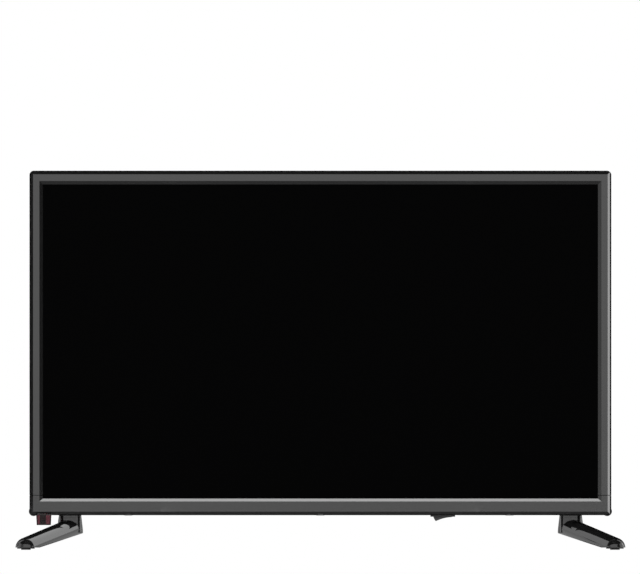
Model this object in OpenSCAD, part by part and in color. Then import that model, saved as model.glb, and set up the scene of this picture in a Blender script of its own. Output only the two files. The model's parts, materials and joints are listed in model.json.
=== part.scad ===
// Flat screen television on two splayed feet, 31.5 inch panel, with its inner parts
// X runs to the viewer's right, Y from the screen to the rear, Z up from the floor

/* [Screen and bezel] */
// Width of the visible screen
screen_w = 696.5; // [600:0.5:800]
// Height of the visible screen
screen_h = 394.2; // [340:0.1:450]
// Width of the bezel at each side
bezel_side = 16.7; // [15.5:0.1:24]
// Height of the bezel above the screen
bezel_top = 17.2; // [16:0.1:24]
// Height of the bezel below the screen
bezel_bottom = 20.8; // [19:0.1:30]
// Depth of the bezel from its face to the rear cover
bezel_d = 16.3; // [15:0.1:20]
// Thickness of the bezel's face
bezel_face_t = 3.4; // [3:0.1:4.5]
// Thickness of the bezel's skirt behind the rounded edge
bezel_skirt = 2.4; // [1.8:0.1:3]
// Width of the bezel's sloped inner edge
lip_w = 4.3; // [2:0.1:6]
// Width of the sloped inner edge along the bottom
lip_low_w = 3.5; // [2:0.1:6]
// Depth of the bezel's sloped inner edge
lip_d = 2.4; // [1:0.1:2.5]
// Width of the rounded outer edge in the front view
edge_w = 4.5; // [2.5:0.1:5]
// Radius of the bezel's outer corners
corner_r = 5.5; // [3:0.5:9]
// Height of the joint between the upper frame and the bottom rail above the bottom edge
rail_h = 25; // [23:0.5:30]
// Width of the open joint between the two bezel pieces
seam_gap = 0.7; // [0.2:0.1:0.8]

/* [Rear cover] */
// Thickness of the moulded walls
wall = 2.4; // [1.8:0.1:3]
// Width of the flat rim round the upper shell
rim_w = 14; // [13:0.5:18]
// Depth of the upper shell behind the screen face
upper_d = 45.4; // [43:0.2:50]
// Drop of the slope along the top of the upper shell
upper_slope = 34; // [20:1:60]
// Sideways run of the upper shell's slanted ends
upper_run = 28; // [15:1:40]
// Depth of the side cheeks
cheek_d = 41; // [39:0.5:44]
// Height of the side cheeks above the bottom edge
cheek_h = 168; // [130:1:200]
// Full depth of the lower housing
cover_d = 79.5; // [76:0.5:90]
// Distance from the side of the set to the lower housing at the cheeks
bulge_root = 21; // [18:0.5:26]
// Distance from the side of the set to the lower housing's rear face
bulge_inset = 69; // [60:1:80]
// Height of the lower housing's rear face above the bottom edge
bulge_h = 164; // [150:1:175]
// Rise of the slope over the lower housing
bulge_slope = 40; // [20:1:50]
// Left end of the vented hump, from the centre
hump_left = 179; // [170:1:190]
// Right end of the vented hump, from the centre
hump_right = 188; // [178:1:198]
// Run of the hump's curved right end
hump_run = 26; // [10:1:30]
// Height of the hump's rear face above the bottom edge
hump_h = 280; // [275:1:300]
// Rise of the vented slope over the hump
hump_slope = 30; // [20:1:36]
// Depth at which the vented slope begins
hump_d = 55; // [52:0.5:58]
// Width of the low ledge at the hump's foot
ledge_w = 470; // [450:1:480]
// Number of vent slots
vent_count = 39; // [20:1:39]
// Pitch of the vent slots
vent_pitch = 8.72; // [6:0.02:9]
// Width of a vent slot
vent_w = 3.4; // [2:0.1:3.6]
// Width of the bar across each vent slot
vent_bar = 7; // [4:0.5:9]

/* [Panel] */
// Thickness of the liquid crystal cell
cell_t = 1.4; // [1:0.1:2]
// Margin of the cell behind the bezel on each side
cell_margin = 3.6; // [3:0.1:4]
// Thickness of the middle frame's lip
mid_lip_t = 1.2; // [0.8:0.1:1.6]
// Thickness of the middle frame's wall
mid_wall = 2; // [1.4:0.1:2.2]
// Depth of the middle frame's wall
mid_d = 10.6; // [8:0.1:11]
// Thickness of each optical sheet
sheet_t = 0.3; // [0.2:0.05:0.5]
// Number of optical sheets
sheet_count = 2; // [1:1:3]
// Thickness of the diffuser plate
diffuser_t = 1.5; // [1:0.1:2]
// Thickness of the steel back pan
pan_t = 1; // [0.6:0.1:1.2]
// Depth of the back pan from rim to floor
pan_d = 20; // [18:0.5:22]
// Width of the back pan's rim
pan_rim = 9; // [6:0.5:12]
// Sideways run of the back pan's slanted walls
pan_run = 24; // [16:1:30]
// Thickness of the reflector sheet
reflector_t = 0.5; // [0.3:0.1:0.8]
// Number of light strips
strip_count = 3; // [2:1:4]
// Number of lenses on a light strip
lens_count = 7; // [5:1:9]
// Length of a light strip
strip_l = 600; // [520:5:620]
// Width of a light strip
strip_w = 14; // [10:0.5:18]
// Thickness of a light strip
strip_t = 1; // [0.8:0.1:1.6]
// Diameter of a light strip lens
lens_dia = 15; // [12:0.5:18]
// Height of a light strip lens
lens_h = 5.2; // [4:0.1:7]

/* [Boards] */
// Thickness of the circuit boards
board_t = 1.6; // [1:0.1:2]
// Height of the board standoffs behind the back pan
standoff_h = 8; // [6:0.5:9]
// Diameter of a board standoff
standoff_dia = 6; // [5:0.5:7]
// Width of the main board
main_w = 150; // [140:1:165]
// Height of the main board
main_h = 104; // [95:1:110]
// Width of the power board
power_w = 150; // [130:1:160]
// Height of the power board
power_h = 100; // [90:1:105]
// Side of the finned heatsink
sink_w = 40; // [30:1:46]
// Height of the finned heatsink
sink_h = 16; // [10:0.5:20]
// Number of heatsink fins
sink_fins = 8; // [5:1:10]
// Length of the transformer
trafo_w = 36; // [28:1:42]
// Height of the transformer above the board
trafo_h = 24; // [18:1:28]
// Diameter of the large capacitor
cap_dia = 18; // [12:0.5:22]
// Clearance between the large capacitor and the cover
cap_room = 6.4; // [4:0.2:14]

/* [Ports] */
// Height of the connector bay's roof above the bottom edge
bay_h = 17; // [15:0.5:22]
// Width of the connector bay
bay_w = 150; // [140:1:160]
// Width of the mains inlet bay
mains_bay_w = 34; // [30:1:38]
// Width of an HDMI shell
hdmi_w = 15; // [14.5:0.1:16]
// Height of an HDMI shell
hdmi_h = 5.8; // [5.4:0.1:6.4]
// Width of the USB shell
usb_w = 13.2; // [13:0.1:14.5]
// Height of the USB shell
usb_h = 5.8; // [5.6:0.1:7]
// Diameter of the aerial connector's barrel
aerial_dia = 9.4; // [9:0.1:10]
// Bore of the audio jack
jack_bore = 3.6; // [3.5:0.1:3.8]
// Depth of the sockets
socket_d = 11; // [9:0.5:12]

/* [Mains rocker switch] */
// Sideways place of the switch
switch_x = 153.5; // [140:0.5:156]
// Length of the switch flange
switch_flange_l = 31; // [29:0.5:33]
// Width of the switch flange
switch_flange_w = 15; // [14.5:0.5:18]
// Thickness of the switch flange
switch_flange_t = 2.1; // [1.5:0.1:3]
// Radius of the rocker's ends about its pivot
rocker_r = 12.2; // [11:0.1:12.6]
// Width of the rocker along its pivot
rocker_w = 9; // [8:0.1:9.4]
// Height of the rocker's tips below its pivot
rocker_tip = 6.2; // [5:0.1:7]
// Hollow of the rocker's face
rocker_hollow = 1.1; // [0.5:0.1:1.5]
// Tilt of the rocker to each side
rocker_tilt = 14; // [8:0.5:15]
// Diameter of the rocker's trunnions
trunnion_dia = 2.6; // [2:0.1:3]

/* [Remote receiver] */
// Distance from the side of the set to the receiver lens
lens_inset = 8.4; // [7.5:0.1:14]
// Width of the receiver lens
ir_w = 19.1; // [16:0.1:24]
// Height of the receiver lens below the bezel
ir_h = 12.4; // [10:0.1:15]
// Depth of the receiver lens
ir_d = 6; // [5.8:0.1:6.2]
// Taper of the receiver lens on each side
ir_taper = 0.7; // [0:0.1:1.5]
// Wall of the receiver lens
ir_wall = 1.5; // [1:0.1:1.6]

/* [Feet] */
// Height of the bezel's bottom edge above the floor
stand_h = 43.4; // [40:0.1:60]
// Distance from the side of the set to the foot's neck
foot_inset = 51; // [46:0.5:60]
// Depth of the foot's neck axis behind the screen face
foot_y = 38.6; // [36:0.2:42]
// Sideways reach of the legs from the neck axis
leg_reach = 55.5; // [40:0.5:65]
// Forward reach of the front leg from the neck axis
front_reach = 88.5; // [75:0.5:100]
// Rearward reach of the rear leg from the neck axis
rear_reach = 47.8; // [42:0.2:70]
// Radius of the front leg's crown
front_leg_r = 13.3; // [12:0.1:14]
// Radius of the rear leg's crown
rear_leg_r = 11.8; // [11:0.1:13]
// Width of the neck
neck_w = 28; // [27:0.5:32]
// Depth of the neck
neck_d = 36; // [32:0.5:40]
// Diameter of a rubber pad
pad_dia = 22; // [16:0.5:22]
// Thickness of a rubber pad
pad_t = 2.8; // [2:0.1:4]

/* [Fixings] */
// Sideways spacing of the wall mount holes
vesa_w = 200; // [200:50:250]
// Upright spacing of the wall mount holes
vesa_h = 100; // [75:25:100]
// Bore of the wall mount's threaded posts
vesa_bore = 4; // [3.2:0.1:4.2]
// Diameter of the wall mount posts
vesa_post_dia = 10; // [8:0.5:12]
// Spacing of the rear bumpers
bumper_pitch = 290; // [270:1:310]
// Diameter of a rear bumper
bumper_dia = 14.4; // [12:0.1:17]
// Height of a rear bumper
bumper_h = 4.3; // [3:0.1:6]
// Diameter of the screw shanks
screw_dia = 3; // [2.5:0.1:3.2]
// Diameter of the screw heads
screw_head = 5.8; // [5:0.1:6.2]
// Diameter of the flat heads under the bottom rail
flat_head = 10; // [8:0.1:11]
// Clearance between pieces that slide together
fit_gap = 0.4; // [0.2:0.05:0.6]

/* [Hidden] */
$fn = 48;

// Overshoot of a cut past the face it breaks through
cut = 1;

// Outer faces of the set
half_w = screen_w / 2 + bezel_side;
z_low = stand_h;
screen_z0 = z_low + bezel_bottom;
screen_z1 = screen_z0 + screen_h;
screen_mid = (screen_z0 + screen_z1) / 2;
z_top = screen_z1 + bezel_top;
seam_z = z_low + rail_h;

// Rounded outer edge of the bezel: inset and depth of its middle, then the depth of the widest belt
edge_share = [0.4, 0.85];
edge_mid = edge_w * edge_share;
belt_in = 3.5;
belt_y = bezel_d - belt_in;
belt_taper = 0.3;
edge_profile = [[edge_w, 0], edge_mid, [0, belt_y], [belt_taper, bezel_d]];
skirt_in = edge_mid[0] + bezel_skirt;

// Panel stack from the bezel's face to the boards
cell_y = bezel_face_t;
lip_y = cell_y + cell_t;
sheet_y = lip_y + mid_lip_t;
diffuser_y = sheet_y + sheet_count * sheet_t;
pan_y = diffuser_y + diffuser_t;
pan_floor_y = pan_y + pan_d;
pan_rear = pan_floor_y + pan_t;
board_y = pan_rear + standoff_h;
comp_y = board_y + board_t;
mid_open = 1;
mid_in = cell_margin + fit_gap;
mid_out = mid_in + mid_wall;
sheet_air = 0.05;
slant_share = 1.4;
pan_skin = slant_share * pan_t;
strip_face = pan_floor_y - strip_t;
function pan_grow(y) = cell_margin - pan_rim - pan_run * (y - pan_y) / (pan_rear - pan_y);
function tray_grow(y) = pan_grow(y) - pan_skin - reflector_air;
reflector_air = 0.3;
reflector_skin = slant_share * reflector_t;
pan_floor_z0 = screen_z0 - pan_grow(pan_rear);
pan_floor_z1 = screen_z1 + pan_grow(pan_rear);
strip_pitch = (pan_floor_z1 - pan_floor_z0) / strip_count;
strip_z = [for (i = [0 : strip_count - 1]) screen_mid + (i - (strip_count - 1) / 2) * strip_pitch];
lens_pitch = strip_l / lens_count;
lens_shares = [[0, 0], [0.8, 0], [1, 0.2], [0.86, 0.7], [0.45, 1], [0, 0.75]];
lens_room = 1;
lens_x = [for (i = [0 : lens_count - 1]) (i - (lens_count - 1) / 2) * lens_pitch];

// Screw bosses of the bezel, in the space between its skirt and the middle frame
boss_sink = 0.5;
boss_r = (min(bezel_side, bezel_top) - mid_out - fit_gap - skirt_in) / 2;
boss_in = skirt_in + boss_r - boss_sink;
boss_x = half_w - boss_in;
pilot_gap = 0.1;
pilot_r = screw_dia / 2 + pilot_gap;
top_boss_share = [-0.84, -0.42, 0, 0.42, 0.84];
side_boss_share = [0.45, 0.68, 0.91];
cover_points = concat(
  [for (s = top_boss_share) [s * boss_x, z_top - boss_in]],
  [for (side = [-1, 1], s = side_boss_share) [side * boss_x, z_low + s * (z_top - z_low)]]
);
rail_screw_x = [-0.66, 0, 0.65] * half_w;
rail_screw_in = 6.5;
rail_screw_y = bezel_d - rail_screw_in;
rail_head_t = 2;
rail_head_proud = 0.4;
tab_t = 3;
tab_w = 14;
tab_d = 5;

// Rear cover levels
rim_t = wall;
rim_y = bezel_d + rim_t;
cover_lift = 0.2;
cover_z = z_low + cover_lift;
under_in = 17.5;
under_d = cover_d - under_in;
under_rise = 14;
upper_soft = [6, 1.9];
cheek_draft = [1, 2.7];
cheek_r = 5;
cheek_rise = 20;
bumper_corner = [5.2, 4.9];
bumper_corner_r = 6;
bulge_soft = [[6, 3.6], [2.2, 1], [-3, 0]];
hump_z = z_low + hump_h;
hump_foot = z_low + bulge_h / 2;
hump_draft = 5;
slope_in = 4;
ledge_rise = 12;
ledge_run = 12;
ledge_drop = 5;
vent_margin = 15.4;
vent_land = 0.8;
vent_notch = 1;
bay_back = 2;
bay_y = comp_y - bay_back;
bay_roof = z_low + bay_h;
board_z = bay_roof + wall + fit_gap;

// Board places, between the wall mount posts and the speakers
main_x = -125;
power_x = 122;
power_lift = 14;
power_z = board_z + power_lift;
mains_step = 32.5;
mains_x = switch_x + mains_step;
hole_in = 5;
hole_z0 = pan_floor_z0 + hole_in + fit_gap;
main_holes = [for (x = [-1, 1], z = [hole_z0, board_z + main_h - hole_in])
  [main_x + x * (main_w / 2 - hole_in), z]];
power_holes = [for (x = [-1, 1], z = [hole_z0, power_z + power_h - hole_in])
  [power_x + x * (power_w / 2 - hole_in), z]];
board_holes = concat(main_holes, power_holes);
screw_grip = 5;
screw_head_t = 2;
drive_share = [0.64, 0.17];
drive_depth = 1.1;
source_w = 300;
source_h = 14;
source_t = 1.2;
source_drop = 4;
source_z = pan_floor_z1 - source_h - source_drop;
ribbon_off = 52;
ribbon_x = main_x + ribbon_off;
ribbon_w = 24;
ribbon_t = 0.4;
ribbon_in = 14;
ribbon_end = board_z + main_h - ribbon_in;
ribbon_bend = [22, 6];
plug_t = 3;
plug_l = 6;
plug_over = 4;
sink_off = [-12, 4];
sink_at = [main_x, board_z + main_h / 2] + sink_off;
sink_base = 3;
sink_fin = 1.6;
chip_size = [24, 2, 24];
memory_chip = [9, 1.2, 13];
memory_step = [10, 8];
flash_chip = [8, 1.6, 5];
flash_step = [-9, 0];
tuner = [28, 9, 26];
trafo_off = 10;
trafo_at = [power_x + trafo_off, power_z + power_h / 2];
cap_off = [52, 30];
cap_at = [power_x, power_z] + cap_off;
small_cap = [10, 18];
small_cap_off = [-20, 18];
small_cap_pitch = 13;
power_sink = [3, 26, 44];
power_sink_off = -40;
power_sink_at = [power_x + power_sink_off, power_z + power_h / 2];

// Port places along the connector bay: sideways place, width and depth
jack_w = 9;
aerial_base = 13;
aerial_l = 10;
aerial_hole = 1;
shell_t = 0.5;
tongue_t = 1.4;
tongue_in = 1;
usb_tongue_in = 1.1;
socket_floor = 2;
port_off = [-60, -35, -11, 11, 45];
socket_z = bay_roof + wall + socket_d;
port_size = [
  [hdmi_w, hdmi_h], [hdmi_w, hdmi_h], [usb_w, usb_h], [jack_w, jack_w], [aerial_base, aerial_base]
];
ports = [for (i = [0 : len(port_off) - 1]) [main_x + port_off[i], port_size[i][0], port_size[i][1]]];
inlet_w = 20;
inlet_d = 12;
inlet_back = 14;
inlet_y = comp_y + inlet_back;
inlet_h = 18;
inlet_flange = [2, 2];
inlet_wall = 2;
inlet_r = 2;
inlet_floor = 3;
inlet_pin = 2.4;
inlet_gap = 0.1;
pin_in = 1;
inlet_pitch = 8.6;

// Speakers beside the boards
speaker_x = 250;
speaker_w = 84;
speaker_gap = 2;
speaker_y0 = pan_rear + speaker_gap;
speaker_d = under_d - speaker_y0 - fit_gap;
speaker_h = 42;
speaker_t = 2;
speaker_r = [4, 2];
speaker_z = cover_z + wall;
driver_in = 3.25;
driver_dia = speaker_d - 2 * driver_in;
driver_h = 9;
cone_shares = [[0, 0.6], [0.35, 0.7], [0.9, 0]];
cone_rim = 1;
cone_top = 0.45;
magnet_h = [6, 4];
magnet_share = [0.6, 0.8];
speaker_slots = 4;
speaker_slot_pitch = 7;
speaker_slot_w = 2.4;

// Wall mount posts and bumpers
vesa_rise = 206;
vesa_z = z_low + vesa_rise;
vesa_points = [for (x = [-1, 1], z = [-1, 1]) [x * vesa_w / 2, vesa_z + z * vesa_h / 2]];
vesa_hole = vesa_bore + 2 * fit_gap;
vesa_depth = 14;
bumper_flare = 1.6;
bumper_z = hump_z - bumper_dia;

// Mains switch
switch_back = 11;
switch_y = bezel_d + switch_back;
switch_wall = 1.8;
switch_flange_r = 1;
rocker_gap = 0.3;
switch_l = 2 * (rocker_r + rocker_gap + switch_wall);
switch_w = rocker_w + 2 * (rocker_gap + switch_wall);
switch_h = 20;
pivot_in = 3;
pivot_z = cover_z - switch_flange_t + pivot_in;
switch_room = 8;
rocker_inner = 3;
trunnion_gap = 0.08;
trunnion_l = 0.9;
terminal = [0.8, 4.8, 9];

// Receiver lens
ir_x = -half_w + lens_inset + ir_w / 2;
ir_y = 3.8;
ir_flange = 1.2;
ir_board_w = 7.8;
ir_board_side = 1.1;
ir_board_x = ir_x - ir_board_side;
ir_board_t = 1.2;
ir_board_y = ir_y + ir_d - ir_wall - ir_board_t;
ir_dome = 0.5;
ir_chip = [6, ir_d - 2 * ir_wall - ir_board_t - ir_dome - fit_gap, 7];
ir_dome_dia = [4.2, 2.4];
ir_board_rise = 6;

// Foot places: neck axis, crown heights and rubber pads
neck_x = half_w - foot_inset;
neck_r = 7;
root_shift = 7;
crown_drop = 1.2;
crown_z = stand_h - crown_drop;
tip_ridge = 15.8;
leg_back = 36;
leg_root = [neck_x - root_shift, foot_y];
front_tip = [neck_x + leg_reach, foot_y - front_reach];
rear_tip = [neck_x + leg_reach, foot_y + rear_reach];
root_h = 22.6;
root_under = stand_h - root_h;
foot_screw_y = 10;
foot_screw_dia = 3.8;
foot_screw_out = 3;
seat_drop = 11;
foot_seat = stand_h - seat_drop;
foot_head = [8, 3];
bracket_t = 2;
bracket_w = 16;
bracket_d = 30;
bracket_h = 20;
pad_step = [0.55, 1.4];
neck_flare = [1.5, 2.2];
neck_half = neck_w / 2;
neck_drop = [10.4, 19, 23, 19.5];

// The frame stands in the middle of the feet
set_y = -(front_tip[1] - front_leg_r + rear_tip[1] + rear_leg_r) / 2;

// Helpers that place outlines and blocks
module placed() {
  translate([0, set_y, 0]) children();
}
module along_x(x0, x1) {
  translate([x0, 0, 0]) rotate([90, 0, 90]) linear_extrude(x1 - x0) children();
}
module along_y(y0, y1) {
  translate([0, y1, 0]) rotate([90, 0, 0]) linear_extrude(y1 - y0) children();
}
module along_z(z0, z1) {
  translate([0, 0, z0]) linear_extrude(z1 - z0) children();
}
module block(low, high) {
  translate(low) cube(high - low);
}
module both_sides(right) {
  left = [for (i = [len(right) - 1 : -1 : 0]) [-right[i][0], right[i][1]]];
  polygon(concat(right, left));
}
module rod_y(at, r, y0, y1) {
  translate([at[0], y1, at[1]]) rotate([90, 0, 0]) cylinder(r = r, h = y1 - y0);
}
module rounded(low, high, r) {
  mid = [low + [r, r], high - [r, r]];
  for (x = [mid[0][0], mid[1][0]], y = [mid[0][1], mid[1][1]]) translate([x, y]) circle(r);
  translate([low[0], mid[0][1]]) square([high[0] - low[0], mid[1][1] - mid[0][1]]);
  translate([mid[0][0], low[1]]) square([mid[1][0] - mid[0][0], high[1] - low[1]]);
}

// Cross-shaped driver recess, open below and sunk upwards
module drive_cross(head) {
  half = head * drive_share / 2;
  block([-half[0], -half[1], -cut], [half[0], half[1], drive_depth]);
  block([-half[1], -half[0], -cut], [half[1], half[0], drive_depth]);
}

// Rectangular plate round the screen, grown past its edge
module screen_plate(grow, y0, y1) {
  block([-screen_w / 2 - grow, y0, screen_z0 - grow], [screen_w / 2 + grow, y1, screen_z1 + grow]);
}

// Frustum round the screen, from one growth at its front to another at its rear
// low scales the front's growth along the bottom
module screen_frustum(grow0, grow1, y0, y1, low = 1) {
  w = screen_w / 2;
  intersection() {
    along_z(screen_z0 - max(grow0, grow1), screen_z1 + max(grow0, grow1))
      both_sides([[w + grow0, y0], [w + grow1, y1]]);
    along_x(-w - max(grow0, grow1), w + max(grow0, grow1))
      polygon([
        [y0, screen_z0 - low * grow0], [y1, screen_z0 - grow1],
        [y1, screen_z1 + grow1], [y0, screen_z1 + grow0]]);
  }
}

// Bezel, whole: rounded edges, sloped inner edge, hollow back and screw bosses
module bezel_form() {
  intersection() {
    along_z(z_low, z_top) both_sides([for (p = edge_profile) [half_w - p[0], p[1]]]);
    along_x(-half_w, half_w) polygon(concat(
      [for (p = edge_profile) [p[1], z_low + p[0]]],
      [for (i = [len(edge_profile) - 1 : -1 : 0]) [edge_profile[i][1], z_top - edge_profile[i][0]]]));
    along_y(0, bezel_d) rounded([-half_w, z_low], [half_w, z_top], corner_r);
  }
}
module bezel() {
  difference() {
    union() {
      difference() {
        bezel_form();
        block([-half_w + skirt_in, bezel_face_t, z_low + skirt_in],
              [half_w - skirt_in, bezel_d + cut, z_top - skirt_in]);
      }
      for (p = cover_points) rod_y(p, boss_r, bezel_face_t - cut, bezel_d);
    }
    screen_frustum(lip_w * (1 + cut / lip_d), 0, -cut, lip_d, lip_low_w / lip_w);
    screen_plate(0, 0, bezel_face_t + cut);
    for (p = cover_points) rod_y(p, pilot_r, bezel_face_t, bezel_d + cut);
  }
}

module bezel_upper_frame() {
  color("dimgray") placed() intersection() {
    bezel();
    block([-half_w - cut, -cut, seam_z + seam_gap / 2], [half_w + cut, bezel_d + cut, z_top + cut]);
  }
}

module bezel_bottom_rail() {
  color("dimgray") placed() difference() {
    intersection() {
      bezel();
      block([-half_w - cut, -cut, z_low - cut], [half_w + cut, bezel_d + cut, seam_z - seam_gap / 2]);
    }
    block([ir_x - ir_w / 2 - fit_gap, ir_y - fit_gap, z_low - cut],
          [ir_x + ir_w / 2 + fit_gap, ir_y + ir_d + fit_gap, z_low + skirt_in + cut]);
    for (x = rail_screw_x) translate([x, rail_screw_y, z_low - cut]) {
      cylinder(d = flat_head + fit_gap, h = cut + rail_head_t - rail_head_proud);
      cylinder(r = pilot_r, h = skirt_in + 2 * cut);
    }
  }
}

// Outer forms of the rear cover, each drawn inset by t so that the hollow follows the skin
function front_y(t) = t > 0 ? bezel_d - cut : bezel_d;

module cover_upper(t) {
  side = half_w - rim_w - t;
  top = z_top - rim_w - t;
  foot = z_low + rim_w + t;
  rear = upper_d - t;
  intersection() {
    along_z(foot, top) both_sides([
      [side, front_y(t)], [side, rim_y],
      [side - upper_run, rear - upper_soft[1]], [side - upper_run - upper_soft[0], rear]]);
    along_x(-half_w, half_w) polygon([
      [front_y(t), foot], [front_y(t), top], [rim_y, top],
      [rear - upper_soft[1], top - upper_slope], [rear, top - upper_slope - upper_soft[0]], [rear, foot]]);
  }
}

module cover_cheeks(t) {
  side = half_w - cheek_draft[1] - t;
  rear = cheek_d - t;
  top = z_low + cheek_h - t;
  low = cover_z + t;
  intersection() {
    along_z(low, top + cheek_rise) both_sides(concat(
      [[half_w - cheek_draft[0] - t, front_y(t)]],
      [for (a = [0 : 22.5 : 90]) [side - cheek_r * (1 - cos(a)), rear - cheek_r * (1 - sin(a))]]));
    along_x(-half_w, half_w) polygon([
      [front_y(t), low], [rear, low], [rear, top],
      [rim_y, top + cheek_rise], [front_y(t), top + cheek_rise]]);
    along_y(front_y(t), rear) rounded([-half_w + t, low], [half_w - t, z_top], bumper_corner_r);
  }
}

module cover_bulge(t) {
  root = half_w - bulge_root - t;
  side = half_w - bulge_inset - t;
  rear = cover_d - t;
  top = z_low + bulge_h - t;
  low = cover_z + t;
  intersection() {
    along_z(low, top + bulge_slope) both_sides([
      [root, front_y(t)], [root, cheek_d - t],
      for (c = bulge_soft) [side + c[0], rear - c[1]]]);
    along_x(-half_w, half_w) polygon([
      [front_y(t), low], [under_d, low], [rear, low + under_rise], [rear, top],
      [upper_d - t, top + bulge_slope], [front_y(t), top + bulge_slope]]);
  }
}

module cover_ledge(t) {
  side = ledge_w / 2 - t;
  rear = hump_d - t;
  top = hump_z + hump_slope + ledge_rise - t;
  intersection() {
    along_z(hump_foot, top) both_sides([[side, front_y(t)], [side, upper_d - t], [side - ledge_run, rear]]);
    along_x(-half_w, half_w) polygon([
      [front_y(t), hump_foot], [front_y(t), top], [upper_d - t, top],
      [rear, top - ledge_drop], [rear, hump_foot]]);
  }
}

module cover_hump(t) {
  rear = cover_d - t;
  steps = 5;
  intersection() {
    along_z(hump_foot, hump_z + hump_slope + ledge_rise) polygon(concat(
      [[t - hump_left - hump_draft, front_y(t)], [t - hump_left - hump_draft, hump_d], [t - hump_left, rear]],
      [for (i = [0 : steps]) let (q = i / steps)
        [hump_right - t + hump_run * q * q * (3 - 2 * q), rear - (cover_d - hump_d) * q]],
      [[hump_right + hump_run - t, front_y(t)]]));
    along_x(-half_w, half_w) polygon([
      [front_y(t), hump_foot], [rear, hump_foot], [rear, hump_z - t],
      [hump_d + slope_in - t, hump_z + hump_slope - t], [front_y(t), hump_z + hump_slope - t]]);
  }
}

module cover_form(t) {
  cover_upper(t);
  cover_cheeks(t);
  cover_bulge(t);
  cover_ledge(t);
  cover_hump(t);
}

// Recess in the lower housing, under which plugs are pushed up into their sockets
module bay(x, w, grow) {
  block([x - w / 2 - grow, bay_y - grow, cover_z - cut], [x + w / 2 + grow, cover_d + cut, bay_roof + grow]);
}
module bays(grow) {
  bay(main_x, bay_w, grow);
  bay(mains_x, mains_bay_w, grow);
}

// One vent slot: open at both ends, sunk over a bar in the middle and notched into the rear edge
module vent_slot() {
  function slope_at(y) = hump_z + hump_slope * (cover_d - y) / (cover_d - hump_d - slope_in);
  y0 = hump_d + slope_in + vent_land;
  y1 = cover_d - wall - vent_land;
  mid = (y0 + y1) / 2;
  bar = [mid - vent_bar / 2, mid + vent_bar / 2];
  deep = slope_at(y1) - 4 * wall;
  high = slope_at(y0) + cut;
  along_x(-vent_w / 2, vent_w / 2) polygon([
    [y0, deep], [y0, high], [cover_d + cut, high], [cover_d + cut, hump_z - vent_notch],
    [y1, slope_at(y1) - vent_notch], [y1, deep], [bar[1], deep], [bar[1], slope_at(bar[1]) - wall],
    [bar[0], slope_at(bar[0]) - wall], [bar[0], deep]]);
}

// Holes through the cover's skin for what passes it
module cover_holes() {
  for (p = cover_points) rod_y(p, pilot_r, bezel_d - cut, rim_y + cut);
  for (p = vesa_points) rod_y(p, vesa_hole / 2, cover_d - wall - cut, cover_d + cut);
  for (i = [0 : vent_count - 1]) translate([vent_margin - hump_left + i * vent_pitch, 0, 0]) vent_slot();
  for (x = rail_screw_x) translate([x, rail_screw_y, z_low + skirt_in - cut])
    cylinder(r = pilot_r, h = tab_t + 2 * cut);
  block([switch_x - switch_l / 2 - fit_gap, switch_y - switch_w / 2 - fit_gap, cover_z - cut],
        [switch_x + switch_l / 2 + fit_gap, switch_y + switch_w / 2 + fit_gap, cover_z + wall + cut]);
  for (side = [-1, 1]) {
    for (dy = [-foot_screw_y, foot_screw_y]) translate([side * neck_x, foot_y + dy, cover_z - cut])
      cylinder(d = foot_screw_dia + fit_gap, h = wall + 2 * cut);
    for (i = [-speaker_slots : speaker_slots]) translate([side * speaker_x + i * speaker_slot_pitch, 0, 0])
      block([-speaker_slot_w / 2, speaker_y0 + hole_in, cover_z - cut],
            [speaker_slot_w / 2, under_d - wall, cover_z + wall + cut]);
  }
  for (p = ports) block([p[0] - p[1] / 2 - fit_gap, comp_y - fit_gap, bay_roof - cut],
                        [p[0] + p[1] / 2 + fit_gap, comp_y + p[2] + fit_gap, bay_roof + wall + cut]);
  block([mains_x - inlet_w / 2 - fit_gap, inlet_y - inlet_d / 2 - fit_gap, bay_roof - cut],
        [mains_x + inlet_w / 2 + fit_gap, inlet_y + inlet_d / 2 + fit_gap, bay_roof + wall + cut]);
}

module rear_cover() {
  rim = half_w - belt_taper;
  color("#3c3c3d") placed() difference() {
    union() {
      difference() {
        union() {
          along_y(bezel_d, rim_y) rounded([-rim, cover_z], [rim, z_top - belt_taper], corner_r);
          cover_form(0);
          for (side = [-1, 1]) rod_y([side * (half_w - bumper_corner[0]), z_low + bumper_corner[1]],
                                     bumper_corner_r, bezel_d, cheek_d - cheek_r);
        }
        difference() {
          cover_form(wall);
          bays(wall);
        }
        bays(0);
      }
      for (x = rail_screw_x) {
        block([x - tab_w / 2, rail_screw_y - tab_d, z_low + skirt_in],
              [x + tab_w / 2, rim_y + tab_d, z_low + skirt_in + tab_t]);
        block([x - tab_w / 2, bezel_d, cover_z], [x + tab_w / 2, rim_y + tab_d, z_low + skirt_in + tab_t]);
      }
    }
    cover_holes();
  }
}

// Screen glass
module lcd_cell() {
  color("black") placed() screen_plate(cell_margin, cell_y, lip_y);
}

// Plastic frame that carries the glass in front and clamps the sheets behind
module mid_frame() {
  color("#1c1c1c") placed() difference() {
    screen_plate(mid_out, cell_y, cell_y + mid_d);
    screen_plate(mid_in, cell_y - cut, lip_y);
    screen_plate(mid_open, lip_y - cut, sheet_y + cut);
    screen_plate(mid_in, sheet_y, cell_y + mid_d + cut);
  }
}

module optical_sheets() {
  color("whitesmoke") placed() for (i = [0 : sheet_count - 1])
    screen_plate(cell_margin, sheet_y + i * sheet_t, sheet_y + (i + 1) * sheet_t - sheet_air);
}

module diffuser_plate() {
  color("ivory") placed() screen_plate(cell_margin, diffuser_y, pan_y);
}

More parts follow.
